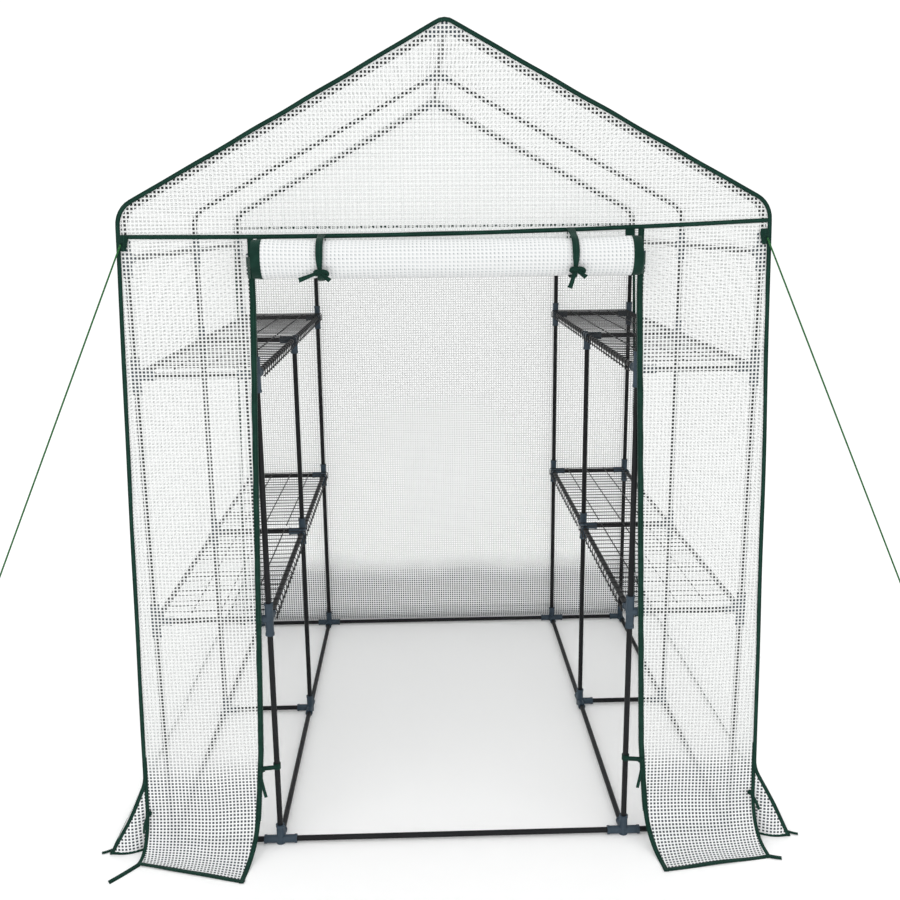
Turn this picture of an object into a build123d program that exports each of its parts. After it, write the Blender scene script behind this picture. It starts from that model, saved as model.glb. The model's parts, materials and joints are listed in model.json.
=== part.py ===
from build123d import *
from math import atan2, cos, sin
import os

# Walk-in greenhouse: a frame of steel tubes pushed into plastic connectors, wire shelves on both sides
# of an aisle, and a mesh cover whose door rolls up. Millimetres. +X right, +Y to the rear, +Z up; the
# front faces -Y. The origin is on the ground at the centre of the footprint.

os.makedirs("parts", exist_ok=True)

# ---- driving dimensions ----
frame_width = 1410.0        # between the axes of the left and right outer posts
frame_depth = 1410.0        # between the axes of the front and rear frames
aisle_width = 870.0         # between the axes of the inner posts
lower_shelf_height = 603.0  # axes of the lower shelf rails
upper_shelf_height = 1194.0
eave_height = 1455.0        # axes of the eave rails and of the door header
bend_height = 1556.0        # where the leg's axis and the slope's axis of a rafter meet
ridge_height = 1931.0       # axis of the ridge tubes

# ---- tubes and connectors ----
tube_radius = 7.0
tube_wall = 0.8
socket_clearance = 0.1      # between a tube and its socket, on the radius
socket_wall = 2.9
collar_height = 1.0         # how far the bead at a socket's mouth stands out
collar_width = 6.0
socket_reach = 41.0         # from a connector's centre to the mouth of a socket
bore_start = 12.0           # solid middle of a connector, measured from its centre
tube_seat = 13.0            # where a tube's end stands, measured from the connector's centre
hub_margin = 1.0            # how far a connector's middle stands out from its sockets
rafter_bend_radius = 55.0

# ---- shelves ----
cross_wire_radius = 1.3
long_wire_radius = 1.7
cross_wire_pitch = 34.0
long_wire_pitch = 68.0
weld_depth = 0.5            # how far crossing wires sink into each other
shelf_clearance = 0.4       # between the shelf and the collars that it lies on
shelf_end_gap = 22.0        # from the axis of a frame's posts to the shelf's first cross wire
shelf_edge_gap = 15.0       # from the axis of the outer posts to the shelf's outer wire
lip_gap = 3.0               # between the inner collars and the wires that hang down past them
lip_drop = 24.0
lip_bend_radius = 5.0

# ---- cover ----
cover_clearance = 1.0       # between the widest part of a connector and the cover
cover_thickness = 0.6
panel_gap = 1.5             # between cover panels that are separate solids
seam_height = 1515.0        # where the front panels and the door hang from the front gable
side_top_height = 1560.0
side_skirt_height = 185.0   # where the side panels end and the side skirts spread
end_skirt_height = 42.0     # the same for the front and rear, whose skirts lie almost flat
side_flare = 44.0           # how much further out the side panels are at the skirt than at the eave
side_skirt_spread = 94.0
end_skirt_spread = 150.0    # front and rear skirts
skirt_side_overrun = 17.0   # how far the side skirts run past the front and rear panels
hem_top_offset = -10.0      # door-side edges of the front panels, outwards from the inner posts' axes
hem_bottom_offset = 42.0
hem_ground_offset = 64.0
front_skirt_corner = 18.0   # how much further out the outer ends of the end skirts are on the ground

# ---- door ----
roll_radius = 44.0
roll_wall = 3.0
roll_inset = 7.0            # from the inner posts' axes to the roll's ends
roll_height = 1451.0
roll_gap = 3.5              # between the front panels and the roll
door_sheet_gap = 1.4        # between the front panels and the door sheet
door_sheet_inset = 2.0      # the sheet is this much shorter than the roll at each end
tie_spacing = 546.0
tie_width = 20.0
tie_thickness = 1.0
tie_clearance = 0.6
slider_width = 10.0
slider_length = 22.0
slider_thickness = 4.0
slider_gap = 3.0            # between the roll's end and a zip slider
slider_stand_off = 1.2
pull_width = 6.0
pull_length = 26.0
pull_thickness = 1.6
slider_drop = 6.0           # middle of a slider below the middle of the roll

# ---- straps, ropes and pegs ----
strap_width = 14.0
strap_thickness = 1.0
strap_clearance = 0.3
strap_height = 215.0
strap_reach = 30.0
tape_length = 55.0
tape_width = 14.0
tape_thickness = 1.0
patch_width = 20.0
patch_height = 26.0
patch_thickness = 1.2
patch_inset = 1.0           # from the outer posts' axes in to the middle of a rope patch
patch_height_above_ground = 1486.0
rope_radius = 2.0
rope_foot_x = 1306.0        # where a guy rope meets its peg
rope_foot_y = 850.0
peg_radius = 2.5
peg_gap = 0.4               # between the rope's end and the peg
peg_rope_height = 90.0
peg_top = 100.0
peg_lean = 34.0             # how much further out the peg's top is than its foot
peg_hook_reach = 18.0
peg_bend_radius = 5.0
peg_below = 5.0             # the peg is drawn on to this depth and cut off level with the ground

# ---- values worked out from the sizes above ----
post_x = frame_width / 2
inner_x = aisle_width / 2
frame_y = frame_depth / 2
socket_bore = tube_radius + socket_clearance
socket_radius = socket_bore + socket_wall
collar_radius = socket_radius + collar_height
hub_radius = socket_radius + hub_margin
cover_gap = max(collar_radius, hub_radius) + cover_clearance
ground_height = collar_radius
roof_slope = atan2(ridge_height - bend_height, post_x)
cover_x = post_x + cover_gap
cover_y = frame_y + cover_gap
skirt_x = cover_x + side_flare
roll_y = -(cover_y + cover_thickness + roll_gap + roll_radius)
roll_half = inner_x - roll_inset
FRONT, MIDDLE, REAR = -frame_y, 0.0, frame_y
FRAMES = (FRONT, MIDDLE, REAR)
SIDES = {"left": -1, "right": 1}
LEVELS = {"ground": ground_height, "lower_shelf": lower_shelf_height, "upper_shelf": upper_shelf_height}


def save(block, name):
    """Label a finished sub-part and write it as its own STEP file."""
    block.part.label = name
    export_step(block.part, f"parts/{name}.step")


def unit(vector):
    """The same direction with a length of one."""
    return Vector(*vector).normalized()


# ---- tubes ----
def straight_tube(start, end):
    """A hollow tube between two connectors' centres, standing back from both by its seat."""
    along = unit(Vector(*end) - Vector(*start))
    length = (Vector(*end) - Vector(*start)).length - 2 * tube_seat
    with BuildPart() as tube:
        with BuildSketch(Plane(origin=Vector(*start) + along * tube_seat, z_dir=along)):
            Circle(tube_radius)
            Circle(tube_radius - tube_wall, mode=Mode.SUBTRACT)
        extrude(amount=length)
    return tube.part


def tube_row(name, runs):
    """One node of tubes that are separate solids."""
    with BuildPart() as row:
        for start, end in runs:
            add(straight_tube(start, end))
    save(row, name)


def post_runs(x, y, heights):
    """An upright of tube lengths, joined by connectors at the given heights."""
    return [((x, y, low), (x, y, high)) for low, high in zip(heights, heights[1:])]


outer_heights = [ground_height, lower_shelf_height, upper_shelf_height, eave_height]
for place, y in zip(("front", "middle", "rear"), FRAMES):
    inner_heights = outer_heights[:3] if place == "middle" else outer_heights
    outer_runs, inner_runs = [], []
    for side in SIDES.values():
        outer_runs += post_runs(side * post_x, y, outer_heights)
        inner_runs += post_runs(side * inner_x, y, inner_heights)
    tube_row(f"{place}_outer_posts", outer_runs)
    tube_row(f"{place}_inner_posts", inner_runs)

for side_name, side in SIDES.items():
    tube_row(f"{side_name}_eave_rails", [((side * post_x, a, eave_height), (side * post_x, b, eave_height))
                                         for a, b in zip(FRAMES, FRAMES[1:])])
    for level_name, height in LEVELS.items():
        rails = [((side * x, a, height), (side * x, b, height))
                 for x in (inner_x, post_x) for a, b in zip(FRAMES, FRAMES[1:])]
        cross_bars = [((side * inner_x, y, height), (side * post_x, y, height)) for y in FRAMES]
        tube_row(f"{side_name}_{level_name}_rails", rails + cross_bars)

tube_row("ridge_tubes", [((0, a, ridge_height), (0, b, ridge_height)) for a, b in zip(FRAMES, FRAMES[1:])])
for name, height in (("headers", eave_height), ("sills", ground_height)):
    tube_row(name, [((-inner_x, y, height), (inner_x, y, height)) for y in (FRONT, REAR)])


def rafter(side, y):
    """A bent tube: an upright leg out of the eave connector, one bend, and a slope to the ridge."""
    foot = (side * post_x, y, eave_height + tube_seat)
    corner = (side * post_x, y, bend_height)
    top = (side * tube_seat * cos(roof_slope), y, ridge_height - tube_seat * sin(roof_slope))
    with BuildPart() as bent_tube:
        with BuildLine() as route:
            FilletPolyline(foot, corner, top, radius=rafter_bend_radius)
        with BuildSketch(Plane(origin=foot, z_dir=(0, 0, 1))):
            Circle(tube_radius)
            Circle(tube_radius - tube_wall, mode=Mode.SUBTRACT)
        sweep(path=route.wires()[0])
    return bent_tube.part


for place, y in zip(("front", "middle", "rear"), FRAMES):
    with BuildPart() as rafters:
        for side in SIDES.values():
            add(rafter(side, y))
    save(rafters, f"{place}_rafters")


# ---- connectors ----
def connector(arms, foot=False):
    """Sockets that point along the arms from one hub, each with a bead round its mouth."""
    with BuildPart() as body:
        Sphere(hub_radius)
        for arm in arms:
            with BuildSketch(Plane(origin=(0, 0, 0), z_dir=arm)):
                Circle(socket_radius)
            extrude(amount=socket_reach)
            with BuildSketch(Plane(origin=unit(arm) * (socket_reach - collar_width), z_dir=arm)):
                Circle(collar_radius)
            extrude(amount=collar_width)
        if foot:
            with BuildSketch(Plane.XY.offset(-ground_height)):
                Circle(hub_radius)
            extrude(amount=ground_height)
        for arm in arms:
            with BuildSketch(Plane(origin=unit(arm) * bore_start, z_dir=arm)):
                Circle(socket_bore)
            extrude(amount=socket_reach, mode=Mode.SUBTRACT)
    return body.part


UP, DOWN, FORWARD, BACK = (0, 0, 1), (0, 0, -1), (0, -1, 0), (0, 1, 0)


def lengthways(y):
    """The directions in which rails leave a frame: back from the front one, both ways from the middle."""
    return {FRONT: [BACK], MIDDLE: [FORWARD, BACK], REAR: [FORWARD]}[y]


def connector_row(name, x, height, arms_at, frames=FRAMES, foot=False):
    """One node of the connectors of both sides at one level; arms_at gives each one's own arms."""
    with BuildPart() as row:
        for side in SIDES.values():
            for y in frames:
                with Locations((side * x, y, height)):
                    add(connector(arms_at(side, y) + lengthways(y), foot))
    save(row, name)


def outward(side):
    return (side, 0, 0)


def inward(side):
    return (-side, 0, 0)


connector_row("ground_outer_connectors", post_x, ground_height, lambda side, y: [UP, inward(side)], foot=True)
connector_row("ground_inner_connectors", inner_x, ground_height,
              lambda side, y: [UP, outward(side)] + ([] if y == MIDDLE else [inward(side)]), foot=True)
connector_row("lower_outer_connectors", post_x, lower_shelf_height, lambda side, y: [UP, DOWN, inward(side)])
connector_row("lower_inner_connectors", inner_x, lower_shelf_height, lambda side, y: [UP, DOWN, outward(side)])
connector_row("upper_outer_connectors", post_x, upper_shelf_height, lambda side, y: [UP, DOWN, inward(side)])
connector_row("upper_inner_connectors", inner_x, upper_shelf_height,
              lambda side, y: [DOWN, outward(side)] + ([] if y == MIDDLE else [UP]))
connector_row("eave_connectors", post_x, eave_height, lambda side, y: [UP, DOWN])

with BuildPart() as header_elbows:
    for side in SIDES.values():
        for y in (FRONT, REAR):
            with Locations((side * inner_x, y, eave_height)):
                add(connector([DOWN, inward(side)]))
save(header_elbows, "header_elbows")

with BuildPart() as ridge_connectors:
    for y in FRAMES:
        slopes = [(side * cos(roof_slope), 0, -sin(roof_slope)) for side in SIDES.values()]
        with Locations((0, y, ridge_height)):
            add(connector(slopes + lengthways(y)))
save(ridge_connectors, "ridge_connectors")

# ---- wire shelves ----
bay_length = frame_y
shelf_length = bay_length - 2 * shelf_end_gap
shelf_outer_x = post_x - shelf_edge_gap
lip_x = inner_x - collar_radius - lip_gap - long_wire_radius - cross_wire_radius
cross_count = round(shelf_length / cross_wire_pitch) + 1
long_count = int((shelf_outer_x - inner_x - collar_radius) / long_wire_pitch) + 1


def wire_shelf():
    """The right-hand front grid at zero height: cross wires bent down at the aisle, long wires under them.
    The flat grid and the hanging lip are two solids that meet where the bend begins."""
    cross_z = collar_radius + shelf_clearance + 2 * long_wire_radius - weld_depth + cross_wire_radius
    long_z = collar_radius + shelf_clearance + long_wire_radius
    first_y = -bay_length + shelf_end_gap
    wire_end = long_wire_radius + cross_wire_radius
    with BuildPart() as grid:
        for k in range(cross_count):
            y = first_y + k * shelf_length / (cross_count - 1)
            with BuildLine() as route:
                FilletPolyline((shelf_outer_x + wire_end, y, cross_z), (lip_x, y, cross_z),
                               (lip_x, y, cross_z - lip_drop), radius=lip_bend_radius)
            with BuildSketch(Plane(origin=(shelf_outer_x + wire_end, y, cross_z), z_dir=(-1, 0, 0))):
                Circle(cross_wire_radius)
            sweep(path=route.wires()[0])
        long_places = [(shelf_outer_x - k * long_wire_pitch, long_z) for k in range(long_count)]
        lip_wire = (lip_x + long_wire_radius + cross_wire_radius - weld_depth, cross_z - lip_drop + wire_end)
        for x, z in long_places + [lip_wire]:
            with BuildSketch(Plane(origin=(x, first_y - wire_end, z), z_dir=(0, 1, 0))):
                Circle(long_wire_radius)
            extrude(amount=shelf_length + 2 * wire_end)
    halves = []
    for kept in (Keep.TOP, Keep.BOTTOM):
        with BuildPart() as half:
            add(grid.part)
            split(bisect_by=Plane.YZ.offset(lip_x + lip_bend_radius), keep=kept)
        halves.append(half.part)
    return halves


right_front_grid = wire_shelf()
right_rear_grid = [mirror(half, about=Plane.XZ) for half in right_front_grid]
for level_name, height in (("lower", lower_shelf_height), ("upper", upper_shelf_height)):
    for place, grid in (("front", right_front_grid), ("rear", right_rear_grid)):
        for side_name, halves in (("right", grid), ("left", [mirror(half, about=Plane.YZ) for half in grid])):
            raised = [solid.moved(Location((0, 0, height))) for half in halves for solid in half.solids()]
            shelf = Compound(label=f"{side_name}_{place}_{level_name}_shelf", children=raised)
            export_step(shelf, f"parts/{shelf.label}.step")


# ---- cover ----
def plate_along_y(points, half_length):
    """A flat plate with the given outline in XZ, the same all along Y."""
    with BuildPart() as plate:
        with BuildSketch(Plane.XZ.offset(-half_length)):
            with BuildLine():
                Polyline(*points, close=True)
            make_face()
        extrude(amount=2 * half_length)
    return plate.part


def upright_plate(points, y_inside):
    """A vertical plate one cover thick, with the given outline in XZ, outwards from y_inside."""
    facing = -1 if y_inside < 0 else 1
    with BuildPart() as plate:
        with BuildSketch(Plane(origin=(0, y_inside, 0), x_dir=(1, 0, 0), z_dir=(0, -1, 0))):
            with BuildLine():
                Polyline(*points, close=True)
            make_face()
        extrude(amount=-facing * cover_thickness)
    return plate.part


def roof_z(x, gap):
    """Height above the ground of a line that runs at this gap over the sloping part of the rafters."""
    return ridge_height - abs(x) * sin(roof_slope) / cos(roof_slope) + gap / cos(roof_slope)


cover_half_length = cover_y + cover_thickness
eave_x = cover_x + cover_thickness
for side_name, side in SIDES.items():
    roof_outline = [
        (side * panel_gap / 2, roof_z(0, cover_gap)),
        (side * eave_x, roof_z(eave_x, cover_gap)),
        (side * eave_x, roof_z(eave_x, cover_gap + cover_thickness)),
        (side * panel_gap / 2, roof_z(0, cover_gap + cover_thickness)),
    ]
    with BuildPart() as roof_panel:
        add(plate_along_y(roof_outline, cover_half_length))
    save(roof_panel, f"{side_name}_roof_panel")

    side_outline = [
        (side * cover_x, side_top_height),
        (side * skirt_x, side_skirt_height),
        (side * (skirt_x + cover_thickness), side_skirt_height),
        (side * (cover_x + cover_thickness), side_top_height),
    ]
    with BuildPart() as side_panel:
        add(plate_along_y(side_outline, cover_half_length))
    save(side_panel, f"{side_name}_side_panel")


def side_inside_x(z):
    """Inside face of the side panels at a height."""
    return cover_x + side_flare * (side_top_height - z) / (side_top_height - side_skirt_height)


def gable_outline(base_z):
    """Half a gable's outline from its base to the apex, just inside the side and roof panels."""
    below_roof = cover_gap - panel_gap
    shoulder_x = cover_x - panel_gap
    return [
        (side_inside_x(base_z) - panel_gap, base_z),
        (shoulder_x, roof_z(shoulder_x, below_roof)),
        (0, roof_z(0, below_roof)),
    ]


def both_halves(half):
    """A symmetric outline from its right half, whose last point lies on the middle line."""
    return half + [(-x, z) for x, z in reversed(half[:-1])]


with BuildPart() as front_gable:
    add(upright_plate(both_halves(gable_outline(seam_height + panel_gap / 2)), -cover_y))
save(front_gable, "front_gable")

with BuildPart() as rear_panel:
    add(upright_plate(both_halves(gable_outline(end_skirt_height)), cover_y))
save(rear_panel, "rear_panel")

panel_top = seam_height - panel_gap / 2
for side_name, side in SIDES.items():
    front_outline = [
        (side * (inner_x + hem_top_offset), panel_top),
        (side * (side_inside_x(panel_top) - panel_gap), panel_top),
        (side * (side_inside_x(end_skirt_height) - panel_gap), end_skirt_height),
        (side * (inner_x + hem_bottom_offset), end_skirt_height),
    ]
    with BuildPart() as front_panel:
        add(upright_plate(front_outline, -cover_y))
    save(front_panel, f"{side_name}_front_panel")


def skirt(panel_foot, top_start, top_end, ground_start, ground_end, facing):
    """A strip of cover from the foot of a panel out to the ground, cut level at both edges."""
    thick = Vector(*facing) * cover_thickness
    with BuildPart() as strip:
        with BuildSketch(Plane.XY.offset(panel_foot - panel_gap)):
            with BuildLine():
                Polyline(top_start, top_end, Vector(*top_end) + thick, Vector(*top_start) + thick, close=True)
            make_face()
        with BuildSketch(Plane.XY):
            with BuildLine():
                Polyline(ground_start, ground_end, Vector(*ground_end) + thick, Vector(*ground_start) + thick,
                         close=True)
            make_face()
        loft(ruled=True)
    return strip.part


ground_y = cover_y + end_skirt_spread
ground_x = skirt_x + side_skirt_spread
end_corner_x = skirt_x + front_skirt_corner
side_corner_y = cover_half_length + skirt_side_overrun
with BuildPart() as side_skirts:
    for side in SIDES.values():
        add(skirt(side_skirt_height, (side * skirt_x, -cover_half_length), (side * skirt_x, cover_half_length),
                  (side * ground_x, -side_corner_y), (side * ground_x, side_corner_y), (side, 0)))
save(side_skirts, "side_skirts")

end_top_x = side_inside_x(end_skirt_height) - panel_gap
with BuildPart() as end_skirts:
    add(skirt(end_skirt_height, (-end_top_x, cover_y), (end_top_x, cover_y),
              (-end_corner_x, ground_y), (end_corner_x, ground_y), (0, 1)))
    for side in SIDES.values():
        add(skirt(end_skirt_height,
                  (side * (inner_x + hem_bottom_offset), -cover_y), (side * end_top_x, -cover_y),
                  (side * (inner_x + hem_ground_offset), -ground_y), (side * end_corner_x, -ground_y), (0, -1)))
save(end_skirts, "end_skirts")

# ---- door ----
with BuildPart() as door_roll:
    with BuildSketch(Plane(origin=(-roll_half, roll_y, roll_height), z_dir=(1, 0, 0))):
        Circle(roll_radius)
        Circle(roll_radius - roll_wall, mode=Mode.SUBTRACT)
    extrude(amount=2 * roll_half)
save(door_roll, "door_roll")

sheet_y = -(cover_y + cover_thickness + door_sheet_gap)
with BuildPart() as door_sheet:
    with BuildSketch(Plane.XY.offset(roll_height)):
        with Locations((0, sheet_y)):
            Rectangle(2 * (roll_half - door_sheet_inset), cover_thickness)
    extrude(amount=panel_top - roll_height)
save(door_sheet, "door_sheet")

ring_inner = roll_radius + tie_clearance
ring_outer = ring_inner + tie_thickness
with BuildPart() as door_ties:
    for x in (-tie_spacing / 2, tie_spacing / 2):
        with BuildSketch(Plane(origin=(x - tie_width / 2, roll_y, roll_height), z_dir=(1, 0, 0))):
            Circle(ring_outer)
        extrude(amount=tie_width)
        with BuildSketch(Plane.XY.offset(roll_height)):
            with Locations((x, roll_y)):
                Rectangle(tie_width, tie_thickness)
        extrude(amount=panel_top - roll_height)
        with BuildSketch(Plane(origin=(x - tie_width / 2, roll_y, roll_height), z_dir=(1, 0, 0))):
            Circle(ring_inner)
        extrude(amount=tie_width, mode=Mode.SUBTRACT)
save(door_ties, "door_ties")

slider_x = roll_half + slider_gap + slider_width / 2
slider_back_y = -(cover_y + cover_thickness + slider_stand_off)
for side_name, side in SIDES.items():
    with BuildPart() as zip_slider:
        with Locations((side * slider_x, slider_back_y - slider_thickness / 2, roll_height - slider_drop)):
            Box(slider_width, slider_thickness, slider_length)
        fillet(zip_slider.edges().filter_by(Axis.Z), radius=slider_thickness / 3)
        pull_z = roll_height - slider_drop - slider_length / 2 - pull_length / 2 + pull_thickness
        with Locations((side * slider_x, slider_back_y - slider_thickness / 2, pull_z)):
            Box(pull_width, pull_thickness, pull_length)
        fillet(zip_slider.edges().filter_by(Axis.Y).group_by(Axis.Z)[0], radius=pull_width / 3)
    save(zip_slider, f"{side_name}_zip_slider")

# ---- hem straps and skirt tapes ----
strap_inner = tube_radius + strap_clearance
strap_outer = strap_inner + strap_thickness
with BuildPart() as hem_straps:
    for side in SIDES.values():
        with BuildSketch(Plane.XY.offset(strap_height - strap_width / 2)):
            with Locations((side * inner_x, FRONT)):
                Circle(strap_outer)
            with Locations((side * (inner_x + strap_reach / 2), FRONT - strap_inner - strap_thickness / 2)):
                Rectangle(strap_reach, strap_thickness)
            with Locations((side * inner_x, FRONT)):
                Circle(strap_inner, mode=Mode.SUBTRACT)
        extrude(amount=strap_width)
save(hem_straps, "hem_straps")

with BuildPart() as skirt_tapes:
    for side in SIDES.values():
        tape_x = side * (end_corner_x + panel_gap + tape_length / 2)
        with Locations((tape_x, -ground_y + tape_width, tape_thickness)):
            Box(tape_length, tape_width, tape_thickness)
save(skirt_tapes, "skirt_tapes")

# ---- guy ropes ----
patch_x = post_x - patch_inset
patch_y = -(cover_y + cover_thickness + panel_gap)
with BuildPart() as rope_patches:
    for side in SIDES.values():
        with Locations((side * patch_x, patch_y - patch_thickness / 2, patch_height_above_ground)):
            Box(patch_width, patch_thickness, patch_height)
save(rope_patches, "rope_patches")

rope_start_y = patch_y - patch_thickness - panel_gap - rope_radius
rope_start = Vector(post_x + cover_gap / 2, rope_start_y, patch_height_above_ground)
rope_end = Vector(rope_foot_x, -rope_foot_y, peg_rope_height)
rope_along = unit(rope_end - rope_start)
rope_length = (rope_end - rope_start).length
for side_name, side in SIDES.items():
    start = Vector(side * rope_start.X, rope_start.Y, rope_start.Z)
    along = Vector(side * rope_along.X, rope_along.Y, rope_along.Z)
    with BuildPart() as guy_rope:
        with BuildSketch(Plane(origin=start, z_dir=along)):
            Circle(rope_radius)
        extrude(amount=rope_length)
    save(guy_rope, f"{side_name}_guy_rope")
print(f"guy rope: one straight run of {rope_length:.0f} mm, no bends")

peg_slope = peg_lean / peg_top
peg_top_x = rope_foot_x + rope_radius + peg_radius + peg_gap + peg_slope * (peg_top - peg_rope_height)
for side_name, side in SIDES.items():
    foot = (side * (peg_top_x - peg_slope * (peg_top + peg_below)), -rope_foot_y, -peg_below)
    head = (side * peg_top_x, -rope_foot_y, peg_top)
    hook = (side * peg_top_x, -rope_foot_y + peg_hook_reach, peg_top)
    with BuildPart() as peg:
        with BuildLine() as route:
            FilletPolyline(foot, head, hook, radius=peg_bend_radius)
        with BuildSketch(Plane(origin=foot, z_dir=route.wires()[0] % 0)):
            Circle(peg_radius)
        sweep(path=route.wires()[0])
        split(bisect_by=Plane.XY)
    save(peg, f"{side_name}_peg")
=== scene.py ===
import json
from math import atan2, cos, hypot, pi, radians, sin

import bpy
import numpy as np
from mathutils import Matrix, Vector


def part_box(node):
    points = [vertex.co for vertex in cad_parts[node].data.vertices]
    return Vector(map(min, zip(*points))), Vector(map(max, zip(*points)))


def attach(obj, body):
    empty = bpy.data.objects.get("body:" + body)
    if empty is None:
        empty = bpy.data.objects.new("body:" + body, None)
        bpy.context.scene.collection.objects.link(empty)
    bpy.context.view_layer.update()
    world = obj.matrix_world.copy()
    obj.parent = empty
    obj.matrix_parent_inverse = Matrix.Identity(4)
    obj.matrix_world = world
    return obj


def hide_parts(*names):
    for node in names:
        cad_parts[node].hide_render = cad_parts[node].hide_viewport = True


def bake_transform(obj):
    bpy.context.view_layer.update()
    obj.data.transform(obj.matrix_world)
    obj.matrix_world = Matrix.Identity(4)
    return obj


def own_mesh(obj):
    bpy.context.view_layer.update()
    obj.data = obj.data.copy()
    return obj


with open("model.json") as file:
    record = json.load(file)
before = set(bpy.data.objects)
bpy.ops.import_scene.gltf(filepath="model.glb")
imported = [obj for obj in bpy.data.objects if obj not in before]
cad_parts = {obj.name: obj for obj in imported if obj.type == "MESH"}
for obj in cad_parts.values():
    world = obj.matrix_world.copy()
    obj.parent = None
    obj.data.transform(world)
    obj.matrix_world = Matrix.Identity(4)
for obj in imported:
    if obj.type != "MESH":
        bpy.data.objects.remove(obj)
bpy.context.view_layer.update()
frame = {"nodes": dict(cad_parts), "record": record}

# A walk-in greenhouse: tube frame and wire shelves from the CAD model, with its sewn mesh cover, green
# bindings, rolled-up door, ribbons, zips and guy ropes made here. Metres; the front faces -Y.

# ---- places taken from the frame ----
roof_low, roof_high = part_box("right_roof_panel")
side_low, side_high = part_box("right_side_panel")
skirt_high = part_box("side_skirts")[1]
end_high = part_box("end_skirts")[1]
front_low, front_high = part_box("right_front_panel")
gable_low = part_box("front_gable")[0]
roll_low, roll_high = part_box("door_roll")
patch_low, patch_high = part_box("rope_patches")
strap_low, strap_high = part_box("hem_straps")

HALF_DEPTH = roof_high[1]              # front and rear edges of the cover
PANEL_Y = (front_low[1] + front_high[1]) / 2
RIDGE_Z = roof_high[2]
EAVE_Z = roof_low[2]
EAVE_X = roof_high[0]
SIDE_TOP_X = side_low[0]
SIDE_FOOT_X = side_high[0]
SIDE_FOOT_Z = side_low[2]
SKIRT_X = skirt_high[0]
SKIRT_Y = skirt_high[1]
FLAP_Y = end_high[1]
FLAP_X = end_high[0]
SEAM_Z = (gable_low[2] + front_high[2]) / 2
FRAME_Y = 0.705                        # axes of the front frame and of the inner posts
INNER_X = 0.435
ROLL_Y = (roll_low[1] + roll_high[1]) / 2
ROLL_Z = (roll_low[2] + roll_high[2]) / 2
ROLL_R = (roll_high[2] - roll_low[2]) / 2
ROLL_HALF = roll_high[0] - 0.009       # the cloth ends a little inside the rolled tube
TIE_X = 0.273                          # from the middle to a ribbon

# ---- the cover's own sizes ----
GRID_PITCH = 0.0087                    # between the threads of the mesh
THREAD_SHARE = 0.40                    # a thread's width as a share of the pitch
TAPE_WIDTH = 0.0082
TAPE_THICK = 0.0022
HEM_WIDTH = 0.0110
GROUND_GAP = 0.0012                    # the cloth's line above the ground


# ---- meshes from grids of points ----
def piece(name, parts, material, body="frame", smooth=True):
    """A mesh object from one or more grids. Each part is (points, uv, closed): points[i, j] is a position,
    uv[i, j] is in metres along the cloth, and closed joins the last column to the first. A face goes
    from each grid square, wound so that the side where i x j points is outside."""
    vertices, faces, corners = [], [], []
    base = 0
    for points, uv, closed in parts:
        rows, columns = points.shape[:2]
        if closed:
            points = np.concatenate([points, points[:, :1]], 1)
            uv = np.concatenate([uv, uv[:, -1:] + (uv[:, 1:2] - uv[:, :1])], 1) if uv.shape[1] == columns else uv
        index = np.arange(rows * columns).reshape(rows, columns)
        wide = np.concatenate([index, index[:, :1]], 1) if closed else index
        quads = np.stack([wide[:-1, :-1], wide[1:, :-1], wide[1:, 1:], wide[:-1, 1:]], -1).reshape(-1, 4)
        uvs = np.stack([uv[:-1, :-1], uv[1:, :-1], uv[1:, 1:], uv[:-1, 1:]], -2).reshape(-1, 2)
        vertices.append(points[:, :columns].reshape(-1, 3))
        faces.append(quads + base)
        corners.append(uvs)
        base += rows * columns
    vertices, faces, corners = (np.concatenate(x) for x in (vertices, faces, corners))
    mesh = bpy.data.meshes.new(name)
    mesh.vertices.add(len(vertices))
    mesh.vertices.foreach_set("co", vertices.astype(np.float32).ravel())
    mesh.loops.add(len(faces) * 4)
    mesh.loops.foreach_set("vertex_index", faces.astype(np.int32).ravel())
    mesh.polygons.add(len(faces))
    mesh.polygons.foreach_set("loop_start", np.arange(0, len(faces) * 4, 4, dtype=np.int32))
    mesh.polygons.foreach_set("loop_total", np.full(len(faces), 4, dtype=np.int32))
    mesh.polygons.foreach_set("use_smooth", np.full(len(faces), smooth))
    layer = mesh.uv_layers.new(name="UVMap")
    layer.data.foreach_set("uv", corners.astype(np.float32).ravel())
    mesh.update(calc_edges=True)
    mesh.validate()
    mesh.materials.append(material)
    made = bpy.data.objects.new(name, mesh)
    bpy.context.scene.collection.objects.link(made)
    if body:
        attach(made, body)
    return made


def unit(vectors):
    """Vectors divided by their lengths."""
    return vectors / np.maximum(np.linalg.norm(vectors, axis=-1, keepdims=True), 1e-9)


def distances(points):
    """Length along a row of points, from its start to each point."""
    steps = np.linalg.norm(np.diff(points, axis=0), axis=1)
    return np.concatenate([[0.0], np.cumsum(steps)])


def resample(points, count):
    """The same line with its points at equal distances."""
    along = distances(points)
    at = np.linspace(0, along[-1], count)
    return np.stack([np.interp(at, along, points[:, k]) for k in range(points.shape[1])], 1)


def rounded(points, radii, steps=10):
    """A line through the points whose corners are arcs: each corner turns on a circle of its radius,
    which meets both of its straight runs."""
    points = [np.array(p, float) for p in points]
    line = [points[0]]
    for before, corner, after, radius in zip(points, points[1:], points[2:], radii):
        a, b = unit(before - corner), unit(after - corner)
        half = np.arccos(np.clip(a @ b, -1, 1)) / 2
        reach = radius / np.tan(half)
        centre = corner + unit(a + b) * radius / np.sin(half)
        start, end = corner + a * reach - centre, corner + b * reach - centre
        turn = np.pi - 2 * half
        for t in np.linspace(0, 1, steps):
            line.append(centre + (start * np.sin((1 - t) * turn) + end * np.sin(t * turn)) / np.sin(turn))
    return np.array(line + [points[-1]])


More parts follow.
